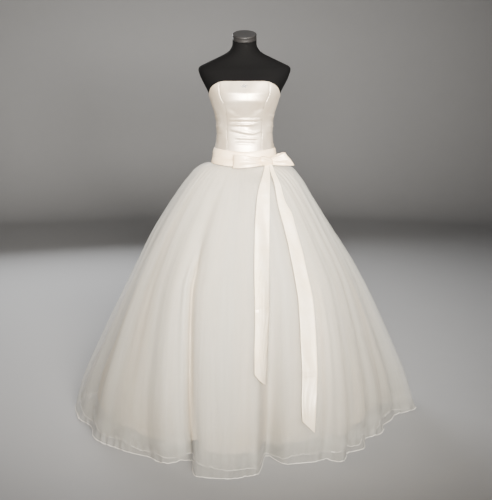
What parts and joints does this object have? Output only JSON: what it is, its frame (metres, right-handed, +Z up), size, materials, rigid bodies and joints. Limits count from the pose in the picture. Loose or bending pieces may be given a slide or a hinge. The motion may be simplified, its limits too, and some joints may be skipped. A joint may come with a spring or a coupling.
{
  "type": "ball gown on dress form",
  "caption": "Strapless floor-length ball gown with a satin bodice, sash and side bow over a full tulle skirt, on a headless dress form.",
  "frame": {"origin": "on the floor, at the centre of the stand's round base, under the neck of the dress form", "axes": "+Z up; the gown faces -Y; +X is to the right of a viewer who faces the gown"},
  "size_m": [1.4272, 1.4262, 1.5512],
  "materials": {
    "bodice_satin": "ivory satin with a soft sheen",
    "sash_satin": "champagne satin with a soft sheen",
    "tulle": "fine ivory tulle with a corded hem",
    "underskirt_satin": "matt ivory lining satin",
    "form_jersey": "black jersey",
    "cap_metal": "dark grey satin paint",
    "stand_steel": "black satin paint"
  },
  "bodies": {
    "root": {"bodice_centre_front": "bodice_satin", "bodice_side_front_left": "bodice_satin", "bodice_side_front_right": "bodice_satin", "bodice_side_back_left": "bodice_satin", "bodice_side_back_right": "bodice_satin", "bodice_back_left": "bodice_satin", "bodice_back_right": "bodice_satin", "sash_band": "sash_satin", "bow_knot": "sash_satin", "bow_loop_left": "sash_satin", "bow_loop_right": "sash_satin", "sash_tail_left": "sash_satin", "sash_tail_right": "sash_satin", "skirt_top_tulle_front": "tulle", "skirt_top_tulle_back": "tulle", "skirt_second_tulle_front": "tulle", "skirt_second_tulle_back": "tulle", "underskirt_front": "underskirt_satin", "underskirt_back": "underskirt_satin", "form_torso": "form_jersey", "form_neck_cap": "cap_metal", "stand_pole": "stand_steel", "stand_base": "stand_steel"}
  },
  "joints": []
}
